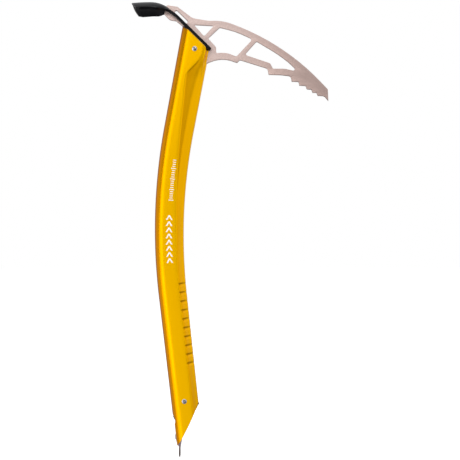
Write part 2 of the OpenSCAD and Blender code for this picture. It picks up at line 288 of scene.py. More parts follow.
def spike_steel_painted_shade_finish():
    """Spike steel, lilac-grey at the shaft, with painted shade that darkens it to brown-black down
    the prong.
    """
    m = Finish("spike_steel_with_painted_shade", Metallic=0.85)
    height = m.axis(m.place, "Z")
    cloud = m.noise(m.place, 260, 4)
    pits = m.noise(m.place, 2100, 3)
    # painted shade: darker down the prong, varied a little by the cloud
    drop = 1 - height.eased(-0.144, -0.13) + (cloud - 0.5) * 0.35
    prong_painted_shade = [(0, (0.42, 0.37, 0.4)), (0.4, (0.27, 0.2, 0.21)), (1, (0.075, 0.042, 0.035))]
    base = m.ramp(drop, prong_painted_shade)
    rough = 0.34 + pits * 0.16
    return m.feed(Base_Color=base, Roughness=rough, Normal=m.bump(pits + cloud, 0.02))


def printed_white():
    """Screen-printed white, slightly chalky, with the ink a little thin in places."""
    m = Finish("printed_white_ink", Metallic=0.0)
    thin = m.noise(m.place, 1300, 4, 0.6)
    white, gold_through = colour(0.9, 0.89, 0.85), colour(0.9, 0.72, 0.35)
    base = m.blend(thin.eased(0.55, 0.8) * 0.35, white, gold_through)
    return m.feed(Base_Color=base, Roughness=0.5 + thin * 0.2, Normal=m.bump(thin, 0.004))


# ---------------------------------------------------------------- the shaft's line and section
GRIP_DEPTH = 30.7  # from back to front at the origin
DEPTH_TAPER = 0.0101  # growth of that depth for each millimetre of height
HALF_WIDTH = 9.7
WALL = 1.4
LOWER_LEAN = 6.4  # degrees backwards of the part below the bend
UPPER_LEAN = 10.65  # degrees forwards of the part above it
BEND_RADIUS = 607
BEND_START = 31
BEND_TURN = LOWER_LEAN + UPPER_LEAN
BEND_END = BEND_START + BEND_RADIUS * math.radians(BEND_TURN)
CUT_HEIGHT = 314.4  # where the slanted top cut meets the middle line
CUT_SLOPE = 44.5
BACK_CORNER = 324  # top of the back wall, where the cut is flatter by BACK_EASE degrees
BACK_EASE = 10
PLATE = 4
SPIKE_PLATE = 3.2
PLATE_EDGE = 0.3
FIT_GAP = 0.1


def up(angle):
    a = math.radians(angle)
    return Vector((math.sin(a), math.cos(a)))


def ahead(angle):
    a = math.radians(angle)
    return Vector((math.cos(a), -math.sin(a)))


def lean(s):
    return -LOWER_LEAN + BEND_TURN * min(1, max(0, (s - BEND_START) / (BEND_END - BEND_START)))


bend_centre = BEND_START * up(-LOWER_LEAN) + BEND_RADIUS * ahead(-LOWER_LEAN)


def at(s, u):
    """The place at height s along the shaft, u ahead of its middle line."""
    if s <= BEND_START:
        middle = s * up(-LOWER_LEAN)
    else:
        middle = bend_centre - BEND_RADIUS * ahead(lean(s)) + max(0, s - BEND_END) * up(UPPER_LEAN)
    return middle + u * ahead(lean(s))


def depth(s):
    return GRIP_DEPTH + DEPTH_TAPER * s


def lookup(key, table):
    """Straight lines between the table's rows."""
    if key <= table[0][0]:
        return table[0][1]
    for (low, start), (high, end) in zip(table, table[1:]):
        if key <= high:
            return start + (end - start) * (key - low) / (high - low)
    return table[-1][1]


def smooth_lookup(key, table, reach):
    """The same lines with their corners rounded over reach."""
    steps = 8
    total = sum(lookup(key + reach * (2 * i / steps - 1), table) for i in range(steps + 1))
    return total / (steps + 1)


# Where the flat side ends, as a share of the depth from the back, and how deep the step there is
CREASE = [
    (-150, 0.745), (112, 0.745), (145, 0.69), (200, 0.583), (266, 0.413), (272, 0.4),
    (278, 0.485), (284, 0.61), (290, 0.72), (296, 0.75), (350, 0.755),
]
CREASE_EASE = 3
DROP = [(-150, 0.7), (284, 0.7), (294, 0.0), (350, 0.0)]
DROP_EASE = 4
CREASE_RUN = 1.2
CREASE_ROUND = 0.5
RECESS_SLOPE = math.tan(math.radians(7))
LEAST_RECESS = 0.6
# The front facet's length, and the round nose in front of it
NOSE_LEN = [(-150, 8), (248, 8), (296, 3.4), (350, 3.4)]
NOSE_R = 4.15
NOSE_TURN = math.radians(58)
SHOULDER_ROUND = 7
# The slot for the spike in the back wall, and the notch for the head plate in the front
SLOT_HALF = 4.6
SLOT_EYE_R = 6.4
SLOT_EYE_AT = -106.4
NOTCH_HALF = PLATE / 2 + FIT_GAP
NOTCH_FOOT = 289.3
# How the painted shade deepens the gold: round the back, in a recess of at least FULL_DROP, and
# less towards the nose
BACK_SHADE_POWER = 0.8
RECESS_SHADE_SHARE = 0.3
FULL_DROP = 0.5
NOSE_FADE = 0.7


CORNER_SHARE = 0.45  # the most of a side that a rounded corner takes


def rounded_corner(before, corner, after, reach, steps):
    """Points round a corner, from reach before it to reach after it."""
    back, on = before - corner, after - corner
    back = back.normalized() * min(reach, back.length * CORNER_SHARE)
    on = on.normalized() * min(reach, on.length * CORNER_SHARE)
    places = []
    for i in range(steps + 1):
        t = i / steps
        places.append(corner + back * (1 - t) ** 2 + on * t * t)
    return places


SLOT_COLUMNS = 5
SIDE_COLUMNS = 12
NOSE_COLUMNS = 4
NOTCH_COLUMNS = 4
FLAT_PARTS = 4.5


def eye_half(s):
    """Half width of the back slot at height s: straight sides with a round eye at their top."""
    return max(SLOT_HALF, math.sqrt(max(0, SLOT_EYE_R**2 - (s - SLOT_EYE_AT) ** 2)))


def half_section(s, inset):
    """Half of the section, back to front: places (u, y), shares of the recess, shares of painted
    shade.
    """
    half_depth = depth(s) / 2
    w = HALF_WIDTH - inset
    slot_turn = math.asin(eye_half(s) / w)
    turns = [slot_turn * i / SLOT_COLUMNS for i in range(SLOT_COLUMNS)]
    rest = math.pi / 2 - slot_turn
    turns += [slot_turn + rest * i / SIDE_COLUMNS for i in range(SIDE_COLUMNS + 1)]
    back = -half_depth + inset
    points = [Vector((back + w * (1 - math.cos(a)), w * math.sin(a))) for a in turns]
    shade = [0.0] * len(points)
    # painted shade round the back, strongest on the back line
    turned = [abs(math.cos(a)) ** BACK_SHADE_POWER for a in turns]

    drop = smooth_lookup(s, DROP, DROP_EASE)
    crease = -half_depth + depth(s) * smooth_lookup(s, CREASE, CREASE_EASE)
    foot = crease + CREASE_RUN
    low = w - drop
    nose_len = smooth_lookup(s, NOSE_LEN, CREASE_EASE)
    shoulder = max(half_depth - nose_len, foot + LEAST_RECESS)
    nose_r = NOSE_R - inset
    nose_at = half_depth - NOSE_R
    tangent = Vector((nose_at, 0)) + nose_r * Vector((math.cos(NOSE_TURN), math.sin(NOSE_TURN)))
    flat_end = Vector((crease, w))
    step_foot = Vector((foot, low))
    shoulder_at = Vector((shoulder - 0.22 * inset, low - (shoulder - foot) * RECESS_SLOPE))

    start = points[-1]
    points += [start.lerp(flat_end, i / FLAT_PARTS) for i in range(1, 4)]
    points += rounded_corner(start, flat_end, step_foot, CREASE_ROUND, 4)
    shade += [0, 0, 0, 0, 0, 0.1, 0.3, 0.5]
    points += rounded_corner(flat_end, step_foot, shoulder_at, CREASE_ROUND, 4)
    points.append(step_foot.lerp(shoulder_at, 0.5))
    points += rounded_corner(step_foot, shoulder_at, tangent, SHOULDER_ROUND, 5)
    points.append(shoulder_at.lerp(tangent, 0.6))
    shade += [0.7, 0.85] + [1] * 11
    notch_y = min(NOTCH_HALF, tangent.y - 0.1)
    heights = [tangent.y + (notch_y - tangent.y) * i / NOSE_COLUMNS for i in range(NOSE_COLUMNS)]
    heights += [notch_y * (1 - i / NOTCH_COLUMNS) for i in range(NOTCH_COLUMNS + 1)]
    points += [Vector((nose_at + math.sqrt(nose_r**2 - y * y), y)) for y in heights]
    shade += [1] * len(heights)
    strength = min(1, drop / FULL_DROP)
    fade = NOSE_FADE / (half_depth - foot)
    shade = [a * strength * (1 - fade * max(0, p.x - foot)) for a, p in zip(shade, points)]
    turned += [0.0] * (len(points) - len(turned))
    return points, shade, [max(RECESS_SHADE_SHARE * a, b) for a, b in zip(shade, turned)]


def top_of(u):
    """Height of the slanted top cut, eased over the back wall."""
    cut = CUT_HEIGHT - u * math.tan(math.radians(CUT_SLOPE - UPPER_LEAN))
    eased_slope = math.tan(math.radians(CUT_SLOPE - BACK_EASE - UPPER_LEAN))
    return min(cut, BACK_CORNER - (u + depth(BACK_CORNER) / 2) * eased_slope)


LOWER_CUT = [(-25, -136.8), (-13.7, -135.2), (-8.6, -129.4), (2.9, -112), (15, -91)]
LOWER_CUT_EASE = 1.5
SLOT_TOP = SLOT_EYE_AT + math.sqrt(SLOT_EYE_R**2 - SLOT_HALF**2)
# Rows between these heights run straight across, and the rest follow the slanted cuts
LOWEST_FULL = -86
HIGHEST_FULL = NOTCH_FOOT
SLOT_ROWS = 26
ABOVE_SLOT_ROWS = 10
EYE_FADE_ROWS = 6
TOP_ROWS = 22
CUT_PASSES = 4
SLOT_SIDE_AT = -14
GROOVED_FROM = -56
GROOVED_TO = 50
NEAR_HEAD = 250
CLOSE_ROWS = 0.5
MIDDLING_ROWS = 1.2
WIDE_ROWS = 2.6
LEAST_ROW = 0.6


def bottom_of(u):
    return smooth_lookup(u, LOWER_CUT, LOWER_CUT_EASE)


def eye_rise(y):
    """How far the round top of the slot's eye stands above its shoulders at y."""
    if abs(y) >= SLOT_HALF:
        return 0.0
    return math.sqrt(SLOT_EYE_R**2 - y * y) + SLOT_EYE_AT - SLOT_TOP


def row_spacing(s):
    """Close rows for the finger grooves, wide ones elsewhere and middling ones near the head."""
    if GROOVED_FROM < s < GROOVED_TO:
        return CLOSE_ROWS
    return MIDDLING_ROWS if s > NEAR_HEAD else WIDE_ROWS


def shaft_rows():
    """(kind, share or height, share of the eye's rise) for each row of the grid, bottom first."""
    foot = bottom_of(SLOT_SIDE_AT)
    slot_share = (SLOT_TOP - foot) / (LOWEST_FULL - foot)
    rows = [("low", slot_share * i / SLOT_ROWS, 0) for i in range(SLOT_ROWS)]
    for i in range(ABOVE_SLOT_ROWS):
        share = slot_share + (1 - slot_share) * i / ABOVE_SLOT_ROWS
        rows.append(("low", share, max(0, 1 - i / EYE_FADE_ROWS)))
    s = LOWEST_FULL
    while s < HIGHEST_FULL - LEAST_ROW:
        rows.append(("full", s, 0))
        s += row_spacing(s)
    rows.append(("full", HIGHEST_FULL, 0))
    rows += [("top", i / TOP_ROWS, 0) for i in range(1, TOP_ROWS + 1)]
    return rows


def slanted_point(kind, share, rise, index, inset):
    """The section's point in one column of a row that follows a cut, found in a few passes."""
    low = kind == "low"
    s = LOWEST_FULL if low else HIGHEST_FULL
    for _ in range(CUT_PASSES):
        p = half_section(s, inset)[0][index]
        if low:
            foot = bottom_of(p.x)
            s = foot + (LOWEST_FULL - foot) * share + rise * eye_rise(p.y)
        else:
            s = HIGHEST_FULL + (top_of(p.x) - HIGHEST_FULL) * share
    points, shade, painted_shade_share = half_section(s, inset)
    return points[index], s, shade[index], painted_shade_share[index]


def shaft_grid(rows, inset):
    """For each row and column: place, height along the shaft, share of the recess, share of painted
    shade.
    """
    count = len(half_section(0, 0)[0])
    grid = []
    for kind, value, rise in rows:
        if kind == "full":
            half = [(p, value, share, painted_shade_share) for p, share, painted_shade_share in zip(*half_section(value, inset))]
        else:
            half = [slanted_point(kind, value, rise, index, inset) for index in range(count)]
        line = []
        for j in [*range(count), *range(count - 2, 0, -1)]:
            p, s, share, painted_shade_share = half[j]
            place = at(s, p.x)
            side = -1 if len(line) < count else 1
            line.append((Vector((place.x, side * p.y, place.y)), s, share, painted_shade_share))
        grid.append(line)
    return grid


# ---------------------------------------------------------------- meshes
WELD = 0.002
FINE_WELD = 0.0005
FLAT_WITHIN = 0.01
FLAT_ANGLE = 0.5  # degrees
BEVEL_ANGLE = 40  # degrees
TUBE_EDGE = 0.22
ADZE_EDGE = 0.4
MOULDED_EDGE = 0.2


def placed(name, mesh):
    thing = bpy.data.objects.new(name, mesh)
    bpy.context.scene.collection.objects.link(thing)
    return thing


def mesh_object(name, bm):
    mesh = bpy.data.meshes.new(name)
    bm.to_mesh(mesh)
    bm.free()
    return placed(name, mesh)


def smoothed(mesh, sharp):
    mesh.shade_smooth()
    mesh.set_sharp_from_angle(angle=math.radians(sharp))


def coated(thing, finish):
    thing.data.materials.clear()
    thing.data.materials.append(finish)
    return thing


def finished(source, name, sharp=35):
    """The object with its modifiers worked out, as a plain mesh that takes its place."""
    graph = bpy.context.evaluated_depsgraph_get()
    mesh = bpy.data.meshes.new_from_object(source.evaluated_get(graph), depsgraph=graph)
    bpy.data.objects.remove(source)
    mesh.name = name
    smoothed(mesh, sharp)
    return placed(name, mesh)


def break_edges(thing, width, segments, method):
    bevel = thing.modifiers.new("edge_break", "BEVEL")
    bevel.width = width * MM
    bevel.segments = segments
    bevel.limit_method = method
    bevel.angle_limit = math.radians(BEVEL_ANGLE)


def walled(name, outer, inner, present, closed, rim_of=None):
    """A wall between two grids. Its cells that aren't present are openings with bevelled edges."""
    bm = bmesh.new()
    height = bm.verts.layers.float.new("height")
    recess = bm.verts.layers.float.new("recess")
    # the share of painted shade, read by the gold finish
    deep = bm.verts.layers.float.new("deep")
    rim = bm.verts.layers.float.new("rim")
    weight = bm.edges.layers.float.new("bevel_weight_edge")
    lay = bm.loops.layers.uv.new("lay")
    columns = len(outer[0])
    middle = outer[len(outer) // 2]
    around = [0.0]
    for j in range(columns):
        around.append(around[-1] + (middle[(j + 1) % columns][0] - middle[j][0]).length)
    made = {}

    def vertex(grid, i, j):
        j %= columns
        key = (grid is outer, i, j)
        if key not in made:
            place, s, share, painted_shade_share = grid[i][j]
            made[key] = bm.verts.new(place * MM)
            made[key][height] = s
            made[key][recess] = share if grid is outer else 0.0
            made[key][deep] = painted_shade_share
            if rim_of:
                made[key][rim] = rim_of(i, j)
        return made[key]

    def face(corners):
        new = bm.faces.new([vertex(*c) for c in corners])
        for loop, (grid, i, j) in zip(new.loops, corners):
            loop[lay].uv = (around[j] * MM, grid[i][j % columns][1] * MM)

    sides = {}
    for i in range(len(outer) - 1):
        for j in range(columns if closed else columns - 1):
            if present(i, j):
                cell = [(i, j), (i, j + 1), (i + 1, j + 1), (i + 1, j)]
                face([(outer, *c) for c in cell])
                face([(inner, *c) for c in reversed(cell)])
                for a, b in zip(cell, cell[1:] + cell[:1]):
                    sides[(a[0], a[1] % columns), (b[0], b[1] % columns)] = (a, b)
    for (a, b), (start, end) in sides.items():
        if (b, a) not in sides:
            face([(outer, *end), (outer, *start), (inner, *start), (inner, *end)])
            for grid in (outer, inner):
                bm.edges.get((vertex(grid, *a), vertex(grid, *b)))[weight] = 1.0
                if not rim_of:
                    vertex(grid, *a)[rim] = vertex(grid, *b)[rim] = 1.0
    return mesh_object(name, bm)


def cleaned_copy(node, name):
    """A copy of a CAD node's mesh with its loose triangles joined and its flat faces made whole."""
    bm = bmesh.new()
    bm.from_mesh(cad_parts[node].data)
    bmesh.ops.remove_doubles(bm, verts=bm.verts, dist=WELD * MM)
    flat = math.radians(FLAT_ANGLE)
    bmesh.ops.dissolve_limit(bm, angle_limit=flat, verts=bm.verts, edges=bm.edges)
    return mesh_object(name, bm)


def flat_loops(node):
    """The closed outlines of the flat face of a plate that looks along -Y, as lists of (x, z)."""
    bm = bmesh.new()
    bm.from_mesh(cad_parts[node].data)
    bmesh.ops.remove_doubles(bm, verts=bm.verts, dist=WELD * MM)
    bm.faces.index_update()
    low = min(v.co.y for v in bm.verts)
    flat = [f for f in bm.faces if all(v.co.y - low < FLAT_WITHIN * MM for v in f.verts)]
    indices = {f.index for f in flat}
    following = {}
    for f in flat:
        for loop in f.loops:
            others = [g for g in loop.edge.link_faces if g is not f]
            if not any(g.index in indices for g in others):
                following[loop.vert] = loop.link_loop_next.vert
    loops = []
    while following:
        start, current = following.popitem()
        chain = [start]
        while current is not start:
            chain.append(current)
            current = following.pop(current)
        loops.append([(v.co.x, v.co.z) for v in chain])
    bm.free()
    return loops


def plate_from(node, name, thickness, finish):
    """A plate with the CAD node's outline and windows, and rounded edges round both faces."""
    curve = bpy.data.curves.new(name, "CURVE")
    curve.dimensions = "2D"
    curve.fill_mode = "BOTH"
    for loop in flat_loops(node):
        spline = curve.splines.new("POLY")
        spline.points.add(len(loop) - 1)
        spline.use_cyclic_u = True
        for point, (x, z) in zip(spline.points, loop):
            point.co = (x, z, 0, 1)
    curve.extrude = (thickness / 2 - PLATE_EDGE) * MM
    curve.bevel_depth = PLATE_EDGE * MM
    curve.bevel_resolution = 2
    curve.offset = -PLATE_EDGE * MM
    plate = finished(placed(name, curve), name)
    plate.data.transform(Matrix.Rotation(math.pi / 2, 4, "X"))
    bm = bmesh.new()
    bm.from_mesh(plate.data)
    bmesh.ops.remove_doubles(bm, verts=bm.verts, dist=FINE_WELD * MM)
    bmesh.ops.recalc_face_normals(bm, faces=bm.faces)
    bm.to_mesh(plate.data)
    bm.free()
    smoothed(plate.data, 40)
    return coated(plate, finish)


# ---------------------------------------------------------------- geometry node trees
class Shapes(Tree):
    """A geometry tree with named inputs. A modifier's values are set by their identifiers."""

    def __init__(self, name, **inputs):
        self.group = bpy.data.node_groups.new(name, "GeometryNodeTree")
        super().__init__(self.group)
        face = self.group.interface
        face.new_socket("Geometry", in_out="INPUT", socket_type="NodeSocketGeometry")
        face.new_socket("Geometry", in_out="OUTPUT", socket_type="NodeSocketGeometry")
        for key, kind in inputs.items():
            face.new_socket(key, in_out="INPUT", socket_type="NodeSocket" + kind)
        self.start = self.nodes.new("NodeGroupInput")

    def given(self, key):
        return Value(self, self.start.outputs[key])

    def end(self, geometry):
        real = self.node("GeometryNodeRealizeInstances", inputs={"Geometry": geometry})
        inputs = {"Geometry": real, "Material": self.given("Finish")}
        result = self.node("GeometryNodeSetMaterial", inputs=inputs)
        self.join(result, self.nodes.new("NodeGroupOutput").inputs["Geometry"])

    def use_on(self, thing, **values):
        modifier = thing.modifiers.new(self.group.name, "NODES")
        modifier.node_group = self.group
        for item in self.group.interface.items_tree:
            if item.in_out == "INPUT" and item.name in values:
                modifier[item.identifier] = values[item.name]
        return thing


def groove_tree():
    """Presses evenly spaced finger grooves into the front of the shaft."""
    sizes = dict.fromkeys(("First", "Pitch", "Last", "Reach", "Depth"), "Float")
    g = Shapes("finger_grooves", **sizes, Finish="Material")
    decimal = {"data_type": "FLOAT"}
    height = g.node("GeometryNodeInputNamedAttribute", decimal, {"Name": "height"})
    recess = g.node("GeometryNodeInputNamedAttribute", decimal, {"Name": "recess"})
    steps = (height - g.given("First")) / g.given("Pitch")
    nearest = g.maths("MINIMUM", g.maths("MAXIMUM", g.maths("ROUND", steps), 0), g.given("Last"))
    away = abs(steps - nearest) * g.given("Pitch") / g.given("Reach")
    cut = (1 - away.eased(0, 1)) * recess
    push = {0: g.node("GeometryNodeInputNormal"), "Scale": cut * g.given("Depth") * -MM}
    inwards = g.node("ShaderNodeVectorMath", {"operation": "SCALE"}, push)
    move = {"Geometry": g.given("Geometry"), "Offset": inwards}
    moved = g.node("GeometryNodeSetPosition", inputs=move)
    # the cut is kept as 'groove', from which the gold finish paints shade in the grooves
    stored = {"Geometry": moved, "Name": "groove", "Value": cut}
    per_point = {"data_type": "FLOAT", "domain": "POINT"}
    g.end(g.node("GeometryNodeStoreNamedAttribute", per_point, stored))
    return g


def mark_tree():
    """Repeats one printed mark along a line and turned with it, and makes some of them longer."""
    sizes = dict.fromkeys(("Pitch", "Every", "Longer"), "Float")
    g = Shapes("printed_row", **sizes, Mark="Object", Finish="Material")
    line = {"Curve": g.given("Geometry"), "Length": g.given("Pitch")}
    spaced = g.node("GeometryNodeResampleCurve", {"mode": "LENGTH"}, line)
    tangent = {"Vector": g.node("GeometryNodeInputTangent")}
    axes = {"axis": "Z", "pivot_axis": "Y"}
    turn = g.node("FunctionNodeAlignRotationToVector", axes, tangent)
    index = g.node("GeometryNodeInputIndex")
    is_long = g.maths("LESS_THAN", g.maths("MODULO", index, g.given("Every")), 0.5)
    width = 1 + is_long * (g.given("Longer") - 1)
    size = g.node("ShaderNodeCombineXYZ", inputs={"X": width, "Y": 1, "Z": 1})
    mark = g.node("GeometryNodeObjectInfo", inputs={"Object": g.given("Mark")}, output="Geometry")
    wanted = {"Points": spaced, "Instance": mark, "Rotation": turn, "Scale": size}
    g.end(g.node("GeometryNodeInstanceOnPoints", inputs=wanted))
    return g


def rivet_tree():
    """Puts a half rivet on each side of the shaft, back to back."""
    g = Shapes("two_headed_rivet", Centre="Vector", Finish="Material")
    both = g.nodes.new("GeometryNodeJoinGeometry")
    for turn in (0, math.pi):
        inputs = {"Geometry": g.given("Geometry"), "Translation": g.given("Centre")}
        inputs["Rotation"] = (0, 0, turn)
        g.join(g.node("GeometryNodeTransform", inputs=inputs), both.inputs[0])
    joined = {"Geometry": Value(g, both.outputs[0]), "Distance": WELD * MM}
    g.end(g.node("GeometryNodeMergeByDistance", inputs=joined))
    return g


# ---------------------------------------------------------------- the pieces
HEAD_RIVET = (301.5, 1)  # height along the shaft, and how far ahead of its middle line
SPIKE_RIVET = (-86.6, 0)
SHANK_R = 2.2
BORE_R = SHANK_R + 0.05
DRILL_LENGTH = 60


def made_by(tree, thing, name, sharp=35, **values):
    return finished(tree.use_on(thing, **values), name, sharp)


def bored(thing, name, places, radius):
    """The piece with round holes right through it along Y."""
    bm = bmesh.new()
    for s, u in places:
        p = at(s, u)
        where = Matrix.Translation((p.x * MM, 0, p.y * MM)) @ Matrix.Rotation(math.pi / 2, 4, "X")
        size = {"radius1": radius * MM, "radius2": radius * MM, "depth": DRILL_LENGTH * MM}
        bmesh.ops.create_cone(bm, cap_ends=True, segments=32, matrix=where, **size)
    drill = mesh_object("drill", bm)
    cut = thing.modifiers.new("bores", "BOOLEAN")
    cut.operation = "DIFFERENCE"
    cut.solver = "EXACT"
    cut.object = drill
    whole = finished(thing, name)
    bpy.data.objects.remove(drill)
    return whole


# The finger grooves: their count, spacing, lowest height, half width and depth
GROOVE_COUNT = 10
GROOVE_PITCH = 9.7
GROOVE_FIRST = -46.5
GROOVE_REACH = 2.2
GROOVE_DEPTH = 0.65


def make_shaft(finish):
    rows = shaft_rows()
    outer = shaft_grid(rows, 0)
    inner = shaft_grid(rows, WALL)
    ring = len(outer[0])
    front = ring // 2
    notch_row = [r[:2] for r in rows].index(("full", HIGHEST_FULL))

    def half(j):
        return min(j % ring, ring - j % ring)

    def present(i, j):
        a, b = sorted((half(j), half(j + 1)))
        in_slot = b <= SLOT_COLUMNS and i < SLOT_ROWS
        in_notch = a >= front - NOTCH_COLUMNS and i >= notch_row
        return not in_slot and not in_notch

    tube = coated(walled("tube", outer, inner, present, closed=True), finish)
    grooves = {"First": GROOVE_FIRST, "Pitch": GROOVE_PITCH, "Last": GROOVE_COUNT - 1}
    grooves.update(Reach=GROOVE_REACH, Depth=GROOVE_DEPTH, Finish=finish)
    groove_tree().use_on(tube, **grooves)
    break_edges(tube, TUBE_EDGE, 2, "WEIGHT")
    tube = finished(tube, "tube", 50)
    return bored(tube, "shaft_gold_tube", [HEAD_RIVET, SPIKE_RIVET], BORE_R)


# The adze is a sheet on the shaft's cut that bends level and droops slightly. q runs along its
# outer surface from the start of the bend, positive towards the blade
SHEET = 3.2
ADZE_BEND = 34
ADZE_HALF = 24.5
DROOP = 190
DROOP_TURN = 6.3
STRIP_FRONT = 20.5
STRIP_BACK = 38.9
STRIP_END = -STRIP_BACK - STRIP_FRONT
STRIP_ROUND = 3
FORK_END = -13.5
ADZE_TURN = ADZE_BEND * math.radians(CUT_SLOPE)
ADZE_LEN = ADZE_TURN + DROOP * math.radians(DROOP_TURN)
ADZE_START = at(CUT_HEIGHT, 0) - STRIP_BACK * ahead(CUT_SLOPE) + SHEET * up(CUT_SLOPE)
ADZE_HUB = ADZE_START - ADZE_BEND * up(CUT_SLOPE)
BLADE_HUB = ADZE_HUB + Vector((0, ADZE_BEND - DROOP))
FORK_Q = (math.radians(CUT_SLOPE) - math.asin((FORK_END - ADZE_HUB.x) / ADZE_BEND)) * ADZE_BEND
ADZE_WIDTHS = [
    (1, HALF_WIDTH), (4, HALF_WIDTH + 0.5), (8, HALF_WIDTH + 2.5), (12, ADZE_HALF - 7.6),
    (15.5, ADZE_HALF - 4.3), (21, ADZE_HALF - 2.5), (33, ADZE_HALF - 1.1), (ADZE_LEN, ADZE_HALF),
]
ADZE_ARCH = [
    (-6, 0.02), (3, 1.9), (8, 5), (12, 7.4), (16, 8.3), (21, 8.7), (33, 9), (ADZE_LEN, 9.2),
]
ADZE_EASE = 2
# The cutting edge: its ground length and thickness, and how far its middle stands ahead
GROUND = 6
EDGE_SHEET = 0.9
ADZE_SHEET = [(ADZE_LEN - GROUND, SHEET), (ADZE_LEN, EDGE_SHEET)]
EDGE_BOW = 4.2
BOW_START = 14
ADZE_SIDE_COLUMNS = 12
FORK_COLUMNS = 4
ADZE_COLUMNS = 2 * ADZE_SIDE_COLUMNS + FORK_COLUMNS


def adze_angle(q):
    if q <= 0:
        return -CUT_SLOPE
    if q < ADZE_TURN:
        return -CUT_SLOPE + q / ADZE_TURN * CUT_SLOPE
    return math.degrees((q - ADZE_TURN) / DROOP)


def adze_top(q):
    if q <= 0:
        return ADZE_START - q * ahead(CUT_SLOPE)
    if q < ADZE_TURN:
        return ADZE_HUB + ADZE_BEND * up(-adze_angle(q))
    return BLADE_HUB + DROOP * up(-adze_angle(q))


def adze_half_width(q):
    from_end = q - STRIP_END
    if from_end < STRIP_ROUND:
        inside = STRIP_ROUND**2 - (STRIP_ROUND - from_end) ** 2
        return HALF_WIDTH - STRIP_ROUND + math.sqrt(max(0, inside))
    return smooth_lookup(q, ADZE_WIDTHS, ADZE_EASE)


def adze_grid(heights, inset):
    """Places of the adze's outer face, or of its underside when inset is 1."""
    grid = []
    for q in heights:
        w = adze_half_width(q)
        rise = smooth_lookup(q, ADZE_ARCH, ADZE_EASE)
        r = (w * w + rise * rise) / 2 / rise
        sheet = lookup(q, ADZE_SHEET) * inset
        gap_ys = [NOTCH_HALF * (2 * i / FORK_COLUMNS - 1) for i in range(1, FORK_COLUMNS)]
        side = (w - NOTCH_HALF) / ADZE_SIDE_COLUMNS
        side_ys = [NOTCH_HALF + side * i for i in range(ADZE_SIDE_COLUMNS + 1)]
        line = []
        for y in [-y for y in reversed(side_ys)] + gap_ys + side_ys:
            swing = math.copysign(math.asin(min(1, abs(y) / r)), y)
            back = EDGE_BOW * (y / w) ** 4 * max(0, q - BOW_START) / (ADZE_LEN - BOW_START)
            drop = r - (r - sheet) * math.cos(swing)
            p = adze_top(q - back) - drop * up(-adze_angle(q - back))
            line.append((Vector((p.x, (r - sheet) * math.sin(swing), p.y)), q, 0.0, 0.0))
        grid.append(line)
    return grid


def between(start, end, count):
    """Evenly spaced values after start, up to and with end."""
    return [start + (end - start) * i / count for i in range(1, count + 1)]


def make_adze(finish):
    heights = [STRIP_END + x for x in (0, 0.15, 0.5, 1, 1.8, 3, 5, 8)]
    heights += between(STRIP_END + 8, 0, 22)
    heights += between(0, FORK_Q, 10)
    fork_row = len(heights) - 1
    heights += between(FORK_Q, ADZE_LEN - GROUND, 22)
    heights += [ADZE_LEN - GROUND + x for x in (1, 2, 3, 4, 5, 5.6, GROUND)]
    top = adze_grid(heights, 0)
    under = adze_grid(heights, 1)
    fork_gap = range(ADZE_SIDE_COLUMNS, ADZE_SIDE_COLUMNS + FORK_COLUMNS)
    last = len(heights) - 1

    def present(i, j):
        return not (j in fork_gap and i < fork_row)

    def edge_wear(i, j):
        return 1.0 if i >= last - 2 else 0.5 if j in (0, ADZE_COLUMNS) else 0.0

    sheet = walled("sheet", top, under, present, closed=False, rim_of=edge_wear)
    break_edges(coated(sheet, finish), ADZE_EDGE, 3, "WEIGHT")
    return finished(sheet, "adze_black_sheet", 40)


# A rivet's head: a straight rim, a rounded shoulder up to its top, and a dish with a small tip
RIVET_GAP = 0.02
RIVET_HEAD_R = 2.8
RIVET_RIM = 0.2
SHOULDER_R = 0.7
SHOULDER_RISE = 0.55
DISH_FLOOR = [(0.7, 0.12), (0.35, 0.08)]
DISH_MIDDLE = 0.07
RIVET_STEPS = 48


def half_rivet(name):
    """One head and half the shank, lathed, with its dished centre looking along -Y."""
    reach = HALF_WIDTH + RIVET_GAP
    rim = reach + RIVET_RIM
    top = rim + SHOULDER_RISE
    crown = RIVET_HEAD_R - SHOULDER_R
    profile = [(SHANK_R, 0), (SHANK_R, reach), (RIVET_HEAD_R, reach), (RIVET_HEAD_R, rim)]
    for i in range(1, 7):
        a = math.radians(15 * i)
        profile.append((crown + SHOULDER_R * math.cos(a), rim + SHOULDER_RISE * math.sin(a)))
    for i in range(1, 6):
        t = i / 5
        profile.append((crown - 0.6 * t - 0.35 * t * t, top - SHOULDER_RISE * t * t))
    profile += [(r, reach + y) for r, y in DISH_FLOOR]
    bm = bmesh.new()
    steps = RIVET_STEPS
    angles = [2 * math.pi * i / steps for i in range(steps)]
    rings = [
        [bm.verts.new(Vector((r * math.cos(a), -y, r * math.sin(a))) * MM) for a in angles]
        for r, y in profile
    ]
    tip = bm.verts.new((0, -(reach + DISH_MIDDLE) * MM, 0))
    for first, second in zip(rings, rings[1:]):
        for i in range(steps):
            k = (i + 1) % steps
            bm.faces.new((first[i], second[i], second[k], first[k]))
    for i in range(steps):
        bm.faces.new((rings[-1][i], tip, rings[-1][(i + 1) % steps]))
    bmesh.ops.recalc_face_normals(bm, faces=bm.faces)
    outward = sum(f.normal.y for f in bm.faces if f.calc_center_median().y < -reach * MM)
    if outward > 0:
        bmesh.ops.reverse_faces(bm, faces=bm.faces)
    return mesh_object(name, bm)


def make_rivet(name, s, u, tree):
    p = at(s, u)
    finish = turned_steel(name + "_steel", p.x, p.y)
    centre = (p.x * MM, 0, p.y * MM)
    return made_by(tree, half_rivet(name + "_half"), name, 30, Centre=centre, Finish=finish)


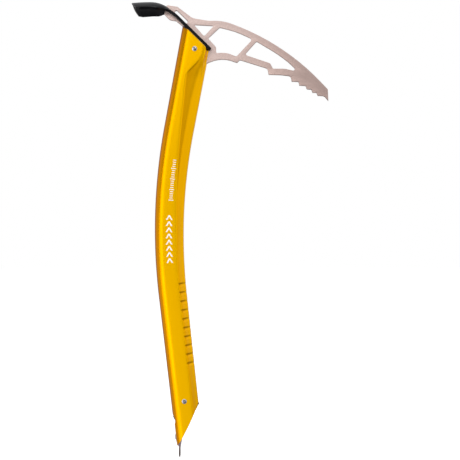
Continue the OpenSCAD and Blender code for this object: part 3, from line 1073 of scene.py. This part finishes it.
INK_HALF = 0.015
INK_GAP = 0.012
MARK_LINE_STEPS = 40
TICK = [(-1.7, -0.38), (1.7, -0.38), (1.7, 0.38), (-1.7, 0.38)]
ARROW = [
    (-3.6, -2.6), (-2.1, -2.6), (0, 0.9), (2.1, -2.6), (3.6, -2.6), (0.75, 2.4), (-0.75, 2.4),
]
# Outline, start, end, distance ahead, pitch, marks to each longer one, and how much longer it is
MARK_ROWS = {
    "ticks": (TICK, 134, 178, 1.3, 2.2, 5.0, 1.6),
    "arrows": (ARROW, 68, 115, 0.2, 6.6, 100.0, 1.0),
}


def flat_mark(name, outline):
    """A thin printed shape from its corners (across, along)."""
    bm = bmesh.new()
    rows = [
        [bm.verts.new(Vector((x, y, z)) * MM) for x, z in outline] for y in (-INK_HALF, INK_HALF)
    ]
    bm.faces.new(rows[0])
    bm.faces.new(reversed(rows[1]))
    for i in range(len(outline)):
        k = (i + 1) % len(outline)
        bm.faces.new((rows[0][k], rows[0][i], rows[1][i], rows[1][k]))
    bmesh.ops.recalc_face_normals(bm, faces=bm.faces)
    return mesh_object(name, bm)


def mark_line(name, start, end, u, y):
    """A line along the flat side of the shaft."""
    curve = bpy.data.curves.new(name, "CURVE")
    curve.dimensions = "3D"
    spline = curve.splines.new("POLY")
    spline.points.add(MARK_LINE_STEPS)
    for i, point in enumerate(spline.points):
        p = at(start + (end - start) * i / MARK_LINE_STEPS, u)
        point.co = (p.x * MM, y * MM, p.y * MM, 1)
    return placed(name, curve)


def make_marks(finish):
    """Plain printed marks on both flat sides: a row of ticks, and a row of arrowheads below it."""
    marks = {kind: flat_mark(kind, row[0]) for kind, row in MARK_ROWS.items()}
    tree = mark_tree()
    rows = []
    for side, y in (("left", -HALF_WIDTH - INK_GAP), ("right", HALF_WIDTH + INK_GAP)):
        for kind, (_, start, end, u, pitch, every, longer) in MARK_ROWS.items():
            line = mark_line(kind + "_line", start, end, u, y)
            values = {"Pitch": pitch * MM, "Every": every, "Longer": longer}
            values.update(Mark=marks[kind], Finish=finish)
            rows.append(made_by(tree, line, f"printed_{kind}_{side}", **values))
    for mark in marks.values():
        bpy.data.objects.remove(mark)
    return rows


def edged_copy(node, name, finish):
    """The CAD solid with its edges broken."""
    piece = coated(cleaned_copy(node, name), finish)
    break_edges(piece, MOULDED_EDGE, 2, "ANGLE")
    return finished(piece, name, 40)


def stand_in(piece, node):
    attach(piece, "root")
    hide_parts(node)


gold = gold_anodised()
steel = blasted_steel()
black = black_anodised()
nylon = moulded_nylon()
spike_steel_painted_shade = spike_steel_painted_shade_finish()
ink = printed_white()

stand_in(make_shaft(gold), "shaft_tube")
head = plate_from("head_plate", "head_pick_plate", PLATE, steel)
stand_in(head, "head_plate")
spike = plate_from("spike", "spike_prong_plate", SPIKE_PLATE, spike_steel_painted_shade)
stand_in(spike, "spike")
stand_in(make_adze(black), "adze")
rivets = rivet_tree()
stand_in(make_rivet("head_cross_rivet", *HEAD_RIVET, rivets), "head_rivet")
stand_in(make_rivet("spike_cross_rivet", *SPIKE_RIVET, rivets), "spike_rivet")
for node in ("head_insert_left", "head_insert_right", "end_plug_left", "end_plug_right"):
    stand_in(edged_copy(node, node + "_moulding", nylon), node)
for marks in make_marks(ink):
    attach(marks, "root")


# ---------------------------------------------------------------- studio
LIGHTS_AIM = Vector((0.06, 0, 0.1))


def softbox(name, azimuth, elevation, distance, size, radiance, roll=0.0):
    """A soft light aimed at the axe. Azimuth 0 is behind the camera and 90 to its right."""
    a, e = math.radians(azimuth), math.radians(elevation)
    away = Vector((math.sin(a) * math.cos(e), -math.cos(a) * math.cos(e), math.sin(e)))
    light = bpy.data.lights.new(name, "AREA")
    light.shape = "RECTANGLE"
    light.size, light.size_y = size
    light.energy = radiance * math.pi * size[0] * size[1]
    lamp = bpy.data.objects.new(name, light)
    rolled = Matrix.Rotation(math.radians(roll), 3, "Z").to_quaternion()
    aim = (away.to_track_quat("Z", "Y") @ rolled).to_matrix().to_4x4()
    lamp.matrix_world = Matrix.Translation(LIGHTS_AIM + away * distance) @ aim
    lamp.visible_camera = False
    bpy.context.scene.collection.objects.link(lamp)


softbox("key", -36, 0, 2.4, (1.35, 3.4), 1.42, roll=-43)
softbox("low_left", -24, -16, 2.4, (0.9, 0.8), 1.2)
softbox("front_fill", 0, -14, 2.6, (1.2, 1.5), 0.66)
softbox("upper_fill", 6, 16, 2.6, (1.2, 0.8), 0.5)
softbox("right_fill", 58, 9, 2.6, (3.4, 2.2), 0.66)
softbox("rear_right", 118, 15, 2.6, (2.5, 2.2), 0.62)
softbox("rear_left", -95, 2, 2.8, (3.0, 2.6), 0.38)
softbox("overhead", 20, 72, 2.4, (2.4, 2.0), 1.2)

world = bpy.data.worlds.new("studio")
bpy.context.scene.world = world
world.use_nodes = True
sky = Tree(world.node_tree)
seen = sky.node("ShaderNodeLightPath", output="Is Camera Ray")
backdrop = sky.blend(seen, colour(0.3, 0.3, 0.31), colour(1, 1, 1))
sky.join(backdrop, sky.nodes["Background"].inputs["Color"])
sky.join(1.0, sky.nodes["Background"].inputs["Strength"])

bm = bmesh.new()
bmesh.ops.create_circle(bm, cap_ends=True, segments=96, radius=6)
floor = mesh_object("studio_floor", bm)
floor.location.z = cad_box[0].z - 0.0002
glow = {"Emission_Color": colour(1, 1, 1), "Emission_Strength": 0.75}
floor_finish = Finish("pale_floor", Roughness=0.9, **glow)
mottle = floor_finish.noise(floor_finish.place, 3, 2)
paper = floor_finish.blend(mottle, colour(0.84, 0.84, 0.84), colour(0.88, 0.88, 0.88))
coated(floor, floor_finish.feed(Base_Color=paper))
floor.visible_glossy = False

camera_data = bpy.data.cameras.new("camera")
camera_data.lens = 85.4
camera_data.sensor_width = 36
camera = bpy.data.objects.new("camera", camera_data)
camera.location = (0.0595, -1.2, 0.101)
camera.rotation_euler = (math.pi / 2, 0, 0)
bpy.context.scene.collection.objects.link(camera)
bpy.context.scene.camera = camera
bpy.context.scene.view_settings.view_transform = "Standard"

bpy.context.view_layer.update()
